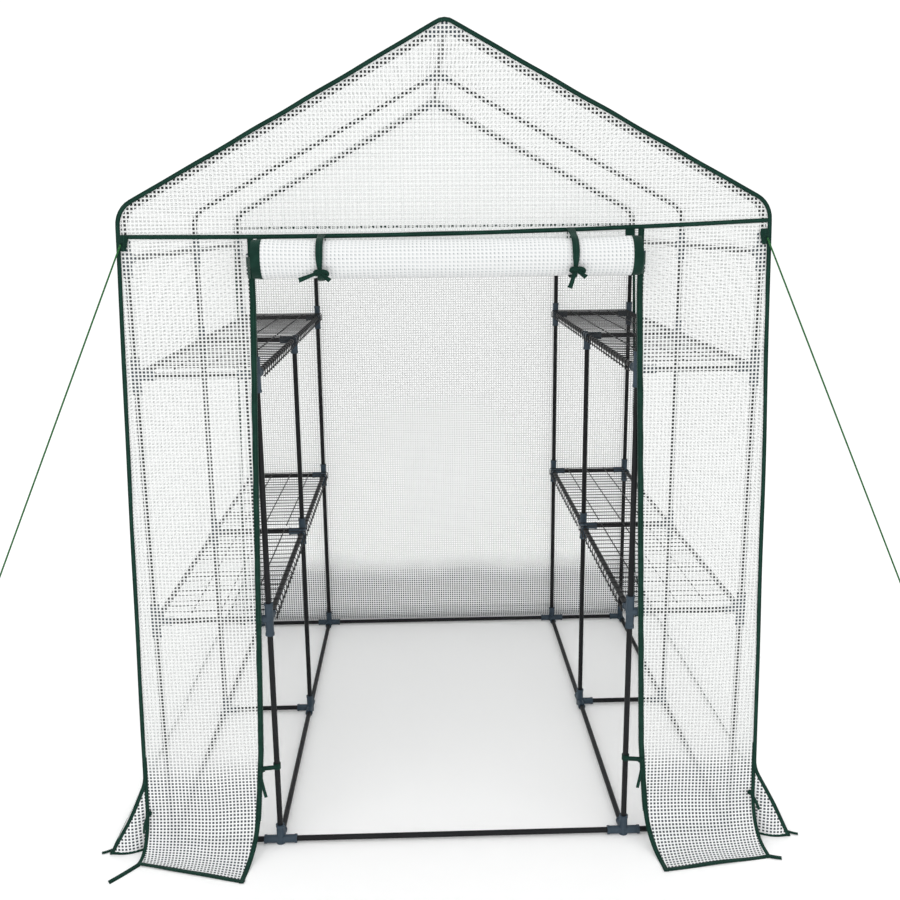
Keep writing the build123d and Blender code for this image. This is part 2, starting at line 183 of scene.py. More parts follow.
def smooth(x, low, high):
    """0 below low, 1 above high, and a cubic ease between."""
    t = np.clip((x - low) / (high - low), 0, 1)
    return t * t * (3 - 2 * t)


def ripple(a, b, wave, seed):
    """Slack in cloth, from -1 to 1: a sum of six sine waves over (a, b) in metres, each with its own
    direction and a length near wave."""
    draw = np.random.default_rng(seed)
    total = np.zeros(np.broadcast(a, b).shape)
    for _ in range(6):
        angle, length, phase = draw.uniform(0, pi), wave * draw.uniform(0.6, 1.7), draw.uniform(0, 2 * pi)
        total += np.sin(2 * pi * (a * cos(angle) + b * sin(angle)) / length + phase)
    return total / 3.4


def slack_between_frames(y):
    """0 at the three frames and 1 half way between them: the absolute sine of the place along Y."""
    return np.abs(np.sin(np.pi * y / FRAME_Y))


# ---- shader helpers ----
class Value:
    """A shader socket that can be used in Python sums and products; each one adds a Math node."""

    def __init__(self, material, socket):
        self.material, self.socket = material, socket

    def math(self, operation, *others):
        return self.material.node("ShaderNodeMath", {"operation": operation}, self, *others)

    def __add__(self, other): return self.math("ADD", other)
    def __radd__(self, other): return self.math("ADD", other)
    def __sub__(self, other): return self.math("SUBTRACT", other)
    def __rsub__(self, other): return self.material.node("ShaderNodeMath", {"operation": "SUBTRACT"}, other, self)
    def __mul__(self, other): return self.math("MULTIPLY", other)
    def __rmul__(self, other): return self.math("MULTIPLY", other)
    def __truediv__(self, other): return self.math("DIVIDE", other)
    def fract(self): return self.math("FRACT")
    def size(self): return self.math("ABSOLUTE")
    def larger(self, other): return self.math("MAXIMUM", other)

    def ease(self, low, high):
        """0 below low, 1 above high, and a smooth step between."""
        return self.material.node("ShaderNodeMapRange", {"interpolation_type": "SMOOTHSTEP"},
                                  {"Value": self, "From Min": low, "From Max": high})


class Finish:
    """A material with one Principled shader; its nodes all come from node()."""

    def __init__(self, name, **constants):
        self.material = bpy.data.materials.new(name)
        self.material.use_nodes = True
        self.tree = self.material.node_tree
        self.shader = self.tree.nodes["Principled BSDF"]
        for socket, value in constants.items():
            self.shader.inputs[socket.replace("_", " ")].default_value = value

    def node(self, kind, settings, *values, output=0):
        """A node of this type with its settings made first, then its sockets: values in order, or one
        dict by socket name."""
        made = self.tree.nodes.new(kind)
        for key, value in settings.items():
            setattr(made, key, value)
        pairs = values[0].items() if values and isinstance(values[0], dict) else enumerate(values)
        for key, value in pairs:
            if isinstance(value, Value):
                self.tree.links.new(value.socket, made.inputs[key])
            else:
                made.inputs[key].default_value = value
        return Value(self, made.outputs[output])

    def place(self):
        """Object coordinates, split into x, y and z."""
        coordinates = self.node("ShaderNodeTexCoord", {}, output="Object")
        return [coordinates] + [self.node("ShaderNodeSeparateXYZ", {}, coordinates, output=k) for k in range(3)]

    def cloth(self):
        """The piece's own UV in metres: the vector, and along and across as numbers."""
        uv = self.node("ShaderNodeUVMap", {"uv_map": "UVMap"})
        return [uv] + [self.node("ShaderNodeSeparateXYZ", {}, uv, output=k) for k in range(2)]

    def noise(self, vector, scale, detail=3.0, rough=0.55, stretch=None):
        if stretch:
            vector = self.node("ShaderNodeMapping", {}, {"Vector": vector, "Scale": stretch})
        return self.node("ShaderNodeTexNoise", {"noise_dimensions": "3D"},
                         {"Vector": vector, "Scale": scale, "Detail": detail, "Roughness": rough})

    def mix(self, factor, first, second):
        """A blend of two colours by a factor."""
        made = self.tree.nodes.new("ShaderNodeMix")
        made.data_type = "RGBA"
        for key, value in ((0, factor), (6, first), (7, second)):
            if isinstance(value, Value):
                self.tree.links.new(value.socket, made.inputs[key])
            else:
                made.inputs[key].default_value = value if key == 0 else (*value, 1.0)
        return Value(self, made.outputs[2])

    def set(self, **links):
        for name, value in links.items():
            self.tree.links.new(value.socket, self.shader.inputs[name.replace("_", " ")])

    def bump(self, height, distance, strength=1.0):
        made = self.node("ShaderNodeBump", {}, {"Height": height, "Distance": distance, "Strength": strength})
        self.set(Normal=made)


# ---- finishes ----
def black_tube():
    """Satin black powder coat on steel tube: fine orange peel, dust and a few rubbed spots."""
    finish = Finish("black_tube", Specular_IOR_Level=0.2)
    place, x, y, z = finish.place()
    blotch = finish.noise(place, 9.0, 4.0)
    peel = finish.noise(place, 900.0, 2.0)
    rubbed = finish.noise(place, 60.0, 5.0, 0.7).ease(0.64, 0.74)
    coat = finish.mix(blotch.ease(0.3, 0.7), (0.004, 0.0045, 0.0055), (0.008, 0.009, 0.0105))
    finish.set(Base_Color=finish.mix(rubbed * 0.35, coat, (0.05, 0.052, 0.056)),
               Roughness=0.34 + blotch * 0.16 + rubbed * 0.12)
    finish.bump(peel, 0.00012, 0.5)
    return finish.material


def slate_plastic():
    """Moulded slate-blue plastic: fine spark grain, slight cloudiness and paler scuffs."""
    finish = Finish("slate_plastic", Specular_IOR_Level=0.45)
    place, x, y, z = finish.place()
    cloud = finish.noise(place, 26.0, 4.0)
    grain = finish.noise(place, 1600.0, 1.0)
    scuff = finish.noise(place, 120.0, 6.0, 0.75, (1.0, 1.0, 0.25)).ease(0.62, 0.72)
    blue = finish.mix(cloud.ease(0.3, 0.7), (0.018, 0.036, 0.055), (0.028, 0.052, 0.076))
    finish.set(Base_Color=finish.mix(scuff * 0.4, blue, (0.09, 0.115, 0.14)),
               Roughness=0.42 + cloud * 0.12 + grain * 0.08)
    finish.bump(grain, 0.00015, 0.6)
    return finish.material


def dipped_wire():
    """Black dipped coating on shelf wire: glossy, with slow thick and thin runs."""
    finish = Finish("dipped_wire", Specular_IOR_Level=0.25)
    place, x, y, z = finish.place()
    runs = finish.noise(place, 70.0, 3.0)
    dust = finish.noise(place, 14.0, 5.0, 0.6).ease(0.45, 0.75)
    finish.set(Base_Color=finish.mix(dust * 0.5, (0.007, 0.007, 0.008), (0.022, 0.022, 0.024)),
               Roughness=0.22 + runs * 0.14 + dust * 0.16)
    finish.bump(runs, 0.0006, 0.4)
    return finish.material


def thread_mask(along, across):
    """1 on the threads of a square grid and 0 in its cells: each direction's distance from the nearest
    thread line, in pitches, eased over a thin edge."""
    edge = 0.5 - THREAD_SHARE / 2
    lines = [((c / GRID_PITCH).fract() - 0.5).size().ease(edge - 0.035, edge + 0.035) for c in (along, across)]
    return lines[0].larger(lines[1])


def mesh_film(name, cell_alpha, ground_shade_alpha, flat=False):
    """Clear film laminated on a grid of white threads: the threads hide what is behind, the film
    between them is milky. Near the ground the film is painted dark and more opaque, a painted shade of
    the dark space seen through it, and the threads there are painted whiter, a painted light against
    their shadow. A flat sheet that changes its length takes the grid from its place in X and Z, the others from their
    UV."""
    finish = Finish(name, Specular_IOR_Level=0.4)
    uv, along, across = finish.cloth()
    place, x, y, z = finish.place()
    if flat:
        uv, along, across = place, x, z
    threads = thread_mask(along, across)
    milk = finish.noise(place, 2.6, 4.0, 0.6)
    crease = finish.noise(uv, 7.0, 5.0, 0.65, (1.0, 2.2, 1.0))
    fibre = finish.noise(uv, 420.0, 2.0)
    # painted shade: towards the ground the film turns dark and more opaque for the dark space seen through it; painted
    # light: the threads there turn whiter against their shadow
    painted_ground_shade = 1.0 - (z + (milk - 0.5) * 0.12).ease(0.17, 0.30)
    woven = finish.mix(fibre.ease(0.35, 0.65), (0.78, 0.80, 0.79), (0.88, 0.89, 0.88))
    thread_colour = finish.mix(painted_ground_shade * 0.7, woven, (0.96, 0.97, 0.97))
    clear = finish.mix(milk.ease(0.3, 0.7), (0.30, 0.33, 0.33), (0.50, 0.52, 0.52))
    film_colour = finish.mix(painted_ground_shade, clear, (0.024, 0.032, 0.046))
    film_alpha = painted_ground_shade * ground_shade_alpha + (milk * 0.05 + (cell_alpha - 0.025))
    finish.set(Base_Color=finish.mix(threads, film_colour, thread_colour),
               Alpha=threads * (0.90 - film_alpha) + film_alpha,
               Roughness=threads * 0.22 + 0.30 + milk * 0.08)
    finish.bump(threads * 0.0005 + crease * 0.004 + fibre * 0.00008, 1.0, 0.55)
    return finish.material


def rolled_mesh():
    """The same mesh many layers deep on the roll: opaque white threads; the cells hold the film's grey deepened
    by painted shade of the layers inside the roll, lighter where a lower layer's threads lie under them, with long
    soft creases."""
    finish = Finish("rolled_mesh", Specular_IOR_Level=0.4)
    uv, along, across = finish.cloth()
    threads = thread_mask(along, across)
    under = thread_mask(along + 0.0031, across + 0.0024)
    depth = finish.noise(uv, 6.0, 4.0, 0.6, (1.0, 7.0, 1.0))
    crease = finish.noise(uv, 9.0, 5.0, 0.6, (0.5, 5.0, 1.0))
    # painted shade: the cells are darkened as the shade of the layers inside the roll, on top of the film's own grey
    shaded_cell = finish.mix(depth.ease(0.35, 0.7), (0.50, 0.53, 0.55), (0.24, 0.27, 0.29))
    below = finish.mix(under, shaded_cell, (0.64, 0.66, 0.66))
    finish.set(Base_Color=finish.mix(threads, below, (0.80, 0.81, 0.81)),
               Roughness=0.36 + crease * 0.12)
    finish.bump(threads * 0.0004 + crease * 0.006, 1.0, 0.6)
    return finish.material


def green_tape():
    """Woven dark green tape: fine diagonal ribs, a stitch line near each edge and faded high spots."""
    finish = Finish("green_tape", Specular_IOR_Level=0.12, Sheen_Weight=0.05, Sheen_Roughness=0.5)
    uv, along, across = finish.cloth()
    ribs = (((along + across) / 0.0011).fract() - 0.5).size() * 2.0
    counter = (((along - across) / 0.0011).fract() - 0.5).size() * 2.0
    dashes = ((along / 0.0042).fract() - 0.5).size().ease(0.12, 0.20)
    line = 1.0 - ((across - TAPE_WIDTH * 0.62).size()).ease(0.0003, 0.0008)
    stitch = line * dashes
    fade = finish.noise(uv, 30.0, 5.0, 0.6)
    weave = finish.mix(fade.ease(0.35, 0.75), (0.0040, 0.026, 0.018), (0.0085, 0.042, 0.029))
    finish.set(Base_Color=finish.mix(stitch * 0.55, weave, (0.022, 0.090, 0.062)),
               Roughness=0.74 + ribs * 0.14)
    finish.bump(ribs * 0.00010 + counter * 0.00010 + stitch * 0.0003, 1.0, 0.7)
    return finish.material


def braided_rope():
    """Dark green braided cord: painted shade darkens the strands in the grooves, flecked fibres."""
    finish = Finish("braided_rope", Specular_IOR_Level=0.3, Sheen_Weight=0.2, Sheen_Roughness=0.4)
    uv, along, across = finish.cloth()
    plait = ((along / 0.0075 + across * 2.0).fract() - 0.5).size() * 2.0
    counter = ((along / 0.0075 - across * 2.0).fract() - 0.5).size() * 2.0
    fleck = finish.noise(uv, 300.0, 3.0)
    height = plait.larger(counter)
    # painted shade: the green darkens down into the grooves between the strands
    green = finish.mix(height.ease(0.4, 1.0), (0.006, 0.055, 0.012), (0.020, 0.160, 0.032))
    finish.set(Base_Color=finish.mix(fleck.ease(0.5, 0.7) * 0.35, green, (0.04, 0.22, 0.07)),
               Roughness=0.62 + fleck * 0.2)
    finish.bump(height * 0.0006, 1.0, 0.7)
    return finish.material


def galvanised():
    """Zinc-coated wire: mottled bright grey with drawn lines."""
    finish = Finish("galvanised", Metallic=1.0)
    place, x, y, z = finish.place()
    mottle = finish.noise(place, 220.0, 4.0, 0.6)
    drawn = finish.noise(place, 500.0, 2.0, 0.5, (1.0, 1.0, 0.08))
    finish.set(Base_Color=finish.mix(mottle.ease(0.3, 0.7), (0.38, 0.39, 0.40), (0.62, 0.63, 0.64)),
               Roughness=0.30 + mottle * 0.25)
    finish.bump(drawn, 0.0002, 0.5)
    return finish.material


def zip_lacquer():
    """Dark green lacquer on a cast zip slider, worn to metal on its high spots."""
    finish = Finish("zip_lacquer", Specular_IOR_Level=0.5)
    place, x, y, z = finish.place()
    worn = finish.noise(place, 420.0, 5.0, 0.7).ease(0.60, 0.70)
    finish.set(Base_Color=finish.mix(worn, (0.006, 0.038, 0.026), (0.32, 0.33, 0.33)),
               Metallic=worn * 0.9, Roughness=0.32 + worn * 0.12)
    finish.bump(worn * -0.0002, 1.0, 0.6)
    return finish.material


TUBE, PLASTIC, WIRE = black_tube(), slate_plastic(), dipped_wire()
# the last number sets how opaque the painted ground shade makes the film near the ground
MESH, LOW_MESH = mesh_film("mesh_film", 0.06, 0.22), mesh_film("low_mesh_film", 0.06, 0.86)
ROLLED = rolled_mesh()
TAPE, ROPE, ZINC, LACQUER = green_tape(), braided_rope(), galvanised(), zip_lacquer()

finish_of_slot = {"frame_tube": TUBE, "connector": PLASTIC, "shelf_wire": WIRE, "cover_mesh": MESH,
                  "green_tape": TAPE, "guy_rope": ROPE, "peg_steel": ZINC, "zip_metal": LACQUER}
for part in frame["record"]["subparts"]:
    node = frame["nodes"][part["node"]]
    node.data.materials.clear()
    node.data.materials.append(finish_of_slot[part["material_slot"]])

# ---- camera, floor and light ----
CAMERA_AT = (-0.0613, -2.9699, 1.5261)
CAMERA_PITCH, CAMERA_YAW, CAMERA_ROLL = 0.2234, 0.0283, -0.0103   # down, to the right, clockwise
CAMERA_LENS = 40.06
FLOOR_HALF = 30.0
WORLD_LIGHT = 1.08


def look(pitch, yaw, roll):
    """The camera's axes as a rotation: level right and up turned by roll about the line of sight."""
    sight = Vector((sin(yaw) * cos(pitch), cos(yaw) * cos(pitch), -sin(pitch)))
    level = Vector((cos(yaw), -sin(yaw), 0.0))
    up = level.cross(sight)
    right = level * cos(roll) + up * sin(roll)
    up = up * cos(roll) - level * sin(roll)
    return Matrix((right, up, -sight)).transposed()


camera = bpy.data.objects.new("camera", bpy.data.cameras.new("camera"))
camera.data.lens = CAMERA_LENS
camera.matrix_world = Matrix.Translation(CAMERA_AT) @ look(CAMERA_PITCH, CAMERA_YAW, CAMERA_ROLL).to_4x4()
bpy.context.scene.collection.objects.link(camera)
bpy.context.scene.camera = camera


def pale_floor():
    """A wide plain floor, almost white, with a faint even glow."""
    finish = Finish("pale_floor", Roughness=0.6, Specular_IOR_Level=0.2, Emission_Color=(1, 1, 1, 1),
                    Emission_Strength=0.10)
    place, x, y, z = finish.place()
    soft = finish.noise(place, 0.8, 2.0)
    finish.set(Base_Color=finish.mix(soft, (0.90, 0.90, 0.90), (0.92, 0.92, 0.92)))
    mesh = bpy.data.meshes.new("floor")
    corners = [(FLOOR_HALF * x, FLOOR_HALF * y, 0) for x, y in ((-1, -1), (1, -1), (1, 1), (-1, 1))]
    mesh.from_pydata(corners, [], [(0, 1, 2, 3)])
    mesh.materials.append(finish.material)
    floor = bpy.data.objects.new("floor", mesh)
    bpy.context.scene.collection.objects.link(floor)


pale_floor()
world = bpy.data.worlds.new("studio")
bpy.context.scene.world = world
world.use_nodes = True
world.node_tree.nodes["Background"].inputs["Color"].default_value = (1.0, 1.0, 1.0, 1.0)
world.node_tree.nodes["Background"].inputs["Strength"].default_value = WORLD_LIGHT
bpy.context.scene.view_settings.view_transform = "Standard"


def soft_light(name, place, aim, size, power):
    """A square area light at a place, turned to its aim."""
    light = bpy.data.lights.new(name, "AREA")
    light.energy, light.size = power, size
    made = bpy.data.objects.new(name, light)
    made.location = place
    made.rotation_euler = (Vector(aim) - Vector(place)).to_track_quat("-Z", "Y").to_euler()
    bpy.context.scene.collection.objects.link(made)


soft_light("key", (-2.6, -3.6, 4.2), (0, 0, 0.8), 2.5, 26)
soft_light("fill", (3.2, -2.6, 3.0), (0, 0, 0.8), 2.5, 8)
soft_light("top", (0.3, 0.6, 5.0), (0, 0, 0), 3.0, 20)

# ---- guy ropes ----
ROPE_RADIUS = 0.002
ROPE_EXIT = (0.711, -0.7238, 1.486)      # the right-hand rope; the left one is its mirror image
ROPE_FOOT = (1.306, -0.850, 0.090)


def frames_along(line):
    """Tangents, and two directions across the line carried along it without twist: across the first
    tangent, then each one pushed square to its own tangent."""
    tangents = unit(np.gradient(line, axis=0))
    start = np.cross(tangents[0], (0.0, 0.0, 1.0) if abs(tangents[0][2]) < 0.9 else (1.0, 0.0, 0.0))
    sideways = unit(start - tangents * (tangents @ start)[:, None])
    return tangents, sideways, np.cross(tangents, sideways)


def rope_surface(line, radius, lay=0.012, strands=3):
    """A laid rope along a line: radius * (0.90 + 0.10 * |cos|) of strands/2 times the angle, which turns
    once for each lay; uv is the distance along and the angle in turns."""
    around = np.linspace(0, 2 * pi, 12, endpoint=False)
    along = distances(line)
    _, side, up = frames_along(line)
    angle, far = around[None, :], along[:, None]
    lobes = radius * (0.90 + 0.10 * np.abs(np.cos(strands / 2 * (angle - 2 * pi * far / lay))))
    points = line[:, None] + lobes[..., None] * (np.cos(angle)[..., None] * side[:, None]
                                                 + np.sin(angle)[..., None] * up[:, None])
    turns = np.linspace(0, 1, 13)
    uv = np.stack(np.broadcast_arrays(far, turns[None, :]), -1)
    return points, uv, True


def spline_line(name, points, spacing=0.0015):
    """The NURBS line of order 3 led by given points, read back as evenly spaced points."""
    curve = bpy.data.curves.new(name, "CURVE")
    curve.dimensions = "3D"
    spline = curve.splines.new("NURBS")
    spline.points.add(len(points) - 1)
    for point, place in zip(spline.points, points):
        point.co = (*place, 1.0)
    spline.order_u = 3
    spline.use_endpoint_u = True
    spline.resolution_u = 24
    holder = bpy.data.objects.new(name, curve)
    mesh = bpy.data.meshes.new_from_object(holder)
    line = np.array([v.co[:] for v in mesh.vertices])
    bpy.data.objects.remove(holder)
    bpy.data.meshes.remove(mesh)
    return resample(line, int(distances(line)[-1] / spacing) + 2)


def guy_rope(side):
    """One taut rope from its patch to its peg, and a knot round the peg."""
    name = "left" if side < 0 else "right"
    start = np.array(ROPE_EXIT) * (side, 1, 1)
    foot = np.array(ROPE_FOOT) * (side, 1, 1)
    line = spline_line(f"{name}_rope_line", [start + (foot - start) * t for t in (0, 0.25, 0.5, 0.75, 1)])
    rope = piece(f"{name}_rope", [rope_surface(line, ROPE_RADIUS)], ROPE)
    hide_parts(f"{name}_guy_rope")
    along = unit(foot - start)
    coils = []
    for k, back in enumerate((0.0, 0.0038, 0.0076)):
        turn = np.linspace(0, 2 * pi, 25)
        flat = unit(np.cross(along, (0.0, 1.0, 0.0)))
        other = np.cross(along, flat)
        centre = foot - along * (0.004 + back)
        ring = centre + 0.0034 * (np.cos(turn)[:, None] * flat + np.sin(turn)[:, None] * other)
        coils.append(rope_surface(ring + along * np.linspace(0, 0.003, 25)[:, None], 0.0017))
    turn = np.linspace(0, 2 * pi, 33)
    peg_axis = foot + np.array((side * 0.0049, 0, 0))
    loop = peg_axis + 0.0046 * np.stack([np.cos(turn), np.sin(turn), 0 * turn], 1)
    coils.append(rope_surface(loop - (0, 0, 0.001), 0.0017))
    tail_end = foot - along * 0.03 + np.array((side * -0.012, -0.008, -0.004))
    tail = spline_line(f"{name}_tail_line", [foot - along * 0.006, foot - along * 0.018 + (0, -0.006, 0), tail_end])
    coils.append(rope_surface(tail, 0.0016))
    knot = piece(f"{name}_rope_knot", coils, ROPE)


for side in (-1, 1):
    guy_rope(side)

# ---- the cover's outline ----
ROOF_RUN = hypot(RIDGE_Z - EAVE_Z, EAVE_X)


def half_outline():
    """The cover's right half in XZ from the ridge to the ground: a rounded ridge, the roof's slope, a
    rounded shoulder, the leaning side and a skirt that swings out to the ground."""
    corners = [(-EAVE_X, EAVE_Z), (0.0, RIDGE_Z + 0.006), (EAVE_X, EAVE_Z), (SIDE_FOOT_X, SIDE_FOOT_Z),
               (SKIRT_X - 0.001, GROUND_GAP)]
    line = rounded(corners, (0.036, 0.062, 0.090), 17)
    line = line[line[:, 0] > 1e-6]
    return np.concatenate([[(0.0, line[0, 1])], line])


OUTLINE = half_outline()


def roof_height(x):
    """Height of the roof line at a distance from the middle, down to the shoulder."""
    top = OUTLINE[OUTLINE[:, 1] > SEAM_Z - 0.02]
    return np.interp(np.abs(x), top[:, 0], top[:, 1])


def side_reach(z):
    """How far out the side of the cover is at a height."""
    low = OUTLINE[(OUTLINE[:, 1] < EAVE_Z - 0.03)]
    straight = np.interp(-z, -low[:, 1], low[:, 0])
    lean = SIDE_TOP_X + (SIDE_FOOT_X - SIDE_TOP_X) * (EAVE_Z - z) / (EAVE_Z - SIDE_FOOT_Z)
    return np.minimum(straight, lean)


def seam_height(x):
    """The seam under the gable: it rises a little to the right and sags by 11 mm at its middle."""
    return SEAM_Z + 0.011 * x / EAVE_X - 0.011 * (1 - (x / EAVE_X) ** 2)


# ---- bindings ----
def binding(line, inward, width, seed, thick=TAPE_THICK):
    """Tape folded over an edge: a flattened loop of nine points carried along the edge, with its width
    in the inward direction and a slight pucker of the stitches."""
    along = distances(line)
    tangent = unit(np.gradient(line, axis=0))
    inward = unit(inward - tangent * (inward * tangent).sum(1)[:, None])
    normal = np.cross(tangent, inward)
    shape = np.array([(-0.0012, 0.0), (-0.0006, 0.5), (0.35 * width, 0.62), (0.86 * width, 0.55), (width, 0.35),
                      (width, -0.35), (0.86 * width, -0.55), (0.35 * width, -0.62), (-0.0006, -0.5)])
    pucker = 1.0 + 0.16 * np.sin(2 * pi * along / 0.0126 + seed) + 0.10 * ripple(along, 0 * along, 0.05, seed)
    depth = shape[:, 0][None, :] * (1.0 + 0.05 * ripple(along, 0 * along, 0.12, seed + 1))[:, None]
    height = shape[:, 1][None, :] * thick * pucker[:, None]
    points = line[:, None] + depth[..., None] * inward[:, None] + height[..., None] * normal[:, None]
    across = np.concatenate([shape[:, 0], [-0.0012]]) + 0.0012
    uv = np.stack(np.broadcast_arrays(along[:, None], across[None, :]), -1)
    return points, uv, True


def edge_of(points, which):
    """An edge line of a grid and the direction from it into the grid, for its first or last row or column."""
    rows = {"first_row": (points[0], points[2]), "last_row": (points[-1], points[-3]),
            "first_column": (points[:, 0], points[:, 2]), "last_column": (points[:, -1], points[:, -3])}
    line, inner = rows[which]
    return line, unit(inner - line)


# ---- roof, sides and side skirts in one sheet ----
def canopy_points(columns=150, rows_each=210):
    """The outline carried along Y. u runs over it from the left skirt to the right one, v from front to
    rear. Between the frames the roof sags by its slack times a sine down the slope, and the sides belly
    out the same way; ripples come on top of both."""
    half = resample(OUTLINE, rows_each)
    outline = np.concatenate([half[::-1] * (-1, 1), half[1:]])
    travel = distances(outline)
    place = travel - travel[-1] / 2
    direction = unit(np.gradient(outline, axis=0))
    normal = np.stack([-direction[:, 1], direction[:, 0]], 1)
    side_length = hypot(EAVE_Z - SIDE_FOOT_Z, SIDE_FOOT_X - SIDE_TOP_X)
    s = np.abs(place)[:, None]
    roof = np.clip(s / ROOF_RUN, 0, 1)
    wall = np.clip((s - ROOF_RUN) / side_length, 0, 1)
    skirt = smooth(s, ROOF_RUN + side_length - 0.02, travel[-1] / 2)
    v = np.linspace(-1, 1, columns)[None, :]
    y = v * (HALF_DEPTH + (SKIRT_Y - HALF_DEPTH) * skirt)
    slack = slack_between_frames(y)
    on_roof = np.sin(pi * roof) * (roof < 1)
    on_wall = np.sin(pi * wall)
    lift = -0.013 * slack * on_roof + 0.0022 * ripple(place[:, None], y, 0.16, 3) * on_roof * (0.3 + 0.7 * slack)
    lift = lift + on_wall * (0.0035 * slack + 0.0030 * (1 + ripple(place[:, None] * 0.35, y, 0.17, 5)) / 2)
    lift = lift + 0.0045 * np.sin(pi * np.clip(skirt, 0, 1)) * ripple(place[:, None] * 0.3, y, 0.20, 8)
    x = outline[:, :1] + normal[:, :1] * lift
    z = outline[:, 1:] + normal[:, 1:] * lift
    z = np.maximum(z, GROUND_GAP)
    points = np.stack(np.broadcast_arrays(x, y, z), -1)
    uv = np.stack(np.broadcast_arrays(y, place[:, None]), -1)
    return points, uv


canopy_grid, canopy_uv = canopy_points()
canopy = piece("cover_canopy", [(canopy_grid[::-1], canopy_uv[::-1], False)], MESH)
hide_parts("left_roof_panel", "right_roof_panel", "left_side_panel", "right_side_panel", "side_skirts")


# ---- gables ----
def gable_points(y, base, columns=150, rows=60):
    """An upright sheet from its base line to the roof line: x runs across, b from base to roof, and the
    middle hangs inwards a little between its edges, with ripples."""
    facing = -1 if y < 0 else 1
    shoulder = SIDE_TOP_X - 0.0012
    x = np.linspace(-shoulder, shoulder, columns)[None, :]
    b = np.linspace(0, 1, rows)[:, None]
    low = base(x)
    z = low + b * (roof_height(x) - 0.001 - low)
    inner = np.sin(pi * b) * np.cos(pi * x / (2 * shoulder))
    push = -0.0075 * inner + 0.0028 * inner * ripple(x, z, 0.22, 21 if y < 0 else 22)
    points = np.stack(np.broadcast_arrays(x, y + facing * push, z), -1)
    uv = np.stack(np.broadcast_arrays(x, z), -1)
    return points, uv


gable_grid, gable_uv = gable_points(PANEL_Y, seam_height)
front_gable = piece("cover_front_gable", [(gable_grid.transpose(1, 0, 2), gable_uv.transpose(1, 0, 2), False)], MESH)
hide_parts("front_gable")


# ---- front panels with their flaps ----
def panel_profile():
    """From the seam down and out over the ground, as (distance in front of the panel, height)."""
    reach = FLAP_Y + PANEL_Y - 0.002
    return rounded([(0.0, SEAM_Z), (0.0, GROUND_GAP), (reach, GROUND_GAP)], (0.120,), 16)


def hem_reach(z):
    """How far from the middle the door-side hem is at a height: it leans outwards to the ground."""
    return np.interp(z, [0.0, 0.12, 0.26, 0.90, 1.36, SEAM_Z], [0.486, 0.478, 0.466, 0.444, 0.427, 0.426])


def front_panel_points(side, rows=190, columns=46):
    """One front panel: t runs down the profile, w from the door hem to the corner. The flap's outer end
    is shorter than its inner one; folds run down the sheet and fade at the seam."""
    profile = resample(panel_profile(), rows)
    depth_run = distances(profile)
    t = depth_run[:, None]
    z = profile[:, 1][:, None]
    out = profile[:, 0][:, None]
    flap = smooth(out, 0.0, FLAP_Y + PANEL_Y)
    w = np.linspace(0, 1, columns)[None, :]
    inner = hem_reach(z) + 0.017 * flap
    outer = side_reach(np.maximum(z, 0.03)) - 0.0012 + 0.010 * flap
    x = inner + (outer - inner) * w
    shorter = 1.0 - (0.55 if side < 0 else 0.29) * w
    forward = out * shorter
    drop = smooth(SEAM_Z - z, 0.02, 0.35)
    bulge = np.sin(pi * w) * (0.0035 + 0.0030 * ripple(x, z * 0.22, 0.13, 31 + side)) * drop * (1 - flap)
    waves = 0.0035 * flap * (1 + ripple(x, out, 0.14, 41 + side)) / 2
    y = PANEL_Y - forward - np.maximum(bulge, 0)
    height = z + waves
    rise = (seam_height(side * x) - SEAM_Z) * (1 - smooth(SEAM_Z - z, 0.0, 0.4))
    points = np.stack(np.broadcast_arrays(side * x, y, height + rise), -1)
    uv = np.stack(np.broadcast_arrays(side * x, -t), -1)
    return points, uv


front_grids = {}
for side, name in ((-1, "left"), (1, "right")):
    grid, uv = front_panel_points(side)
    front_grids[side] = grid
    order = slice(None, None, 1 if side > 0 else -1)
    panel = piece(f"cover_{name}_front", [(grid[:, order], uv[:, order], False)], LOW_MESH)
    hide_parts(f"{name}_front_panel")


# ---- rear sheet with its flap ----
def rear_points(rows=200, columns=150):
    """The rear sheet: b runs from the roof line down the wall and out over the ground; x runs across."""
    profile = resample(rounded([(0.0, SEAM_Z), (0.0, GROUND_GAP), (FLAP_Y - HALF_DEPTH - 0.002, GROUND_GAP)],
                               (0.045,), 12), rows)
    w = np.linspace(-1, 1, columns)[None, :]
    z, out = profile[:, 1][:, None], profile[:, 0][:, None]
    flap = smooth(out, 0.0, FLAP_Y - HALF_DEPTH)
    reach = np.minimum(side_reach(np.maximum(z, 0.03)) - 0.0012 + 0.010 * flap, FLAP_X)
    x = reach * w
    wall = np.abs(np.sin(pi * np.clip((SEAM_Z - z) / 0.59, 0, 2.6)))
    bulge = 0.0045 * wall * (1 + ripple(x, z * 0.3, 0.2, 51)) / 2 * (1 - flap)
    waves = 0.0035 * flap * (1 + ripple(x, out, 0.16, 52)) / 2
    y = -PANEL_Y + out + bulge
    points = np.stack(np.broadcast_arrays(x, y, z + waves), -1)
    uv = np.stack(np.broadcast_arrays(x, -distances(profile)[:, None] + SEAM_Z), -1)
    return points, uv


rear_grid, rear_uv = rear_points()
rear_top, rear_top_uv = gable_points(-PANEL_Y, lambda x: SEAM_Z + 0 * x)
rear = piece("cover_rear", [(rear_grid, rear_uv, False), (rear_top, rear_top_uv, False)], LOW_MESH)
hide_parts("rear_panel", "end_skirts")

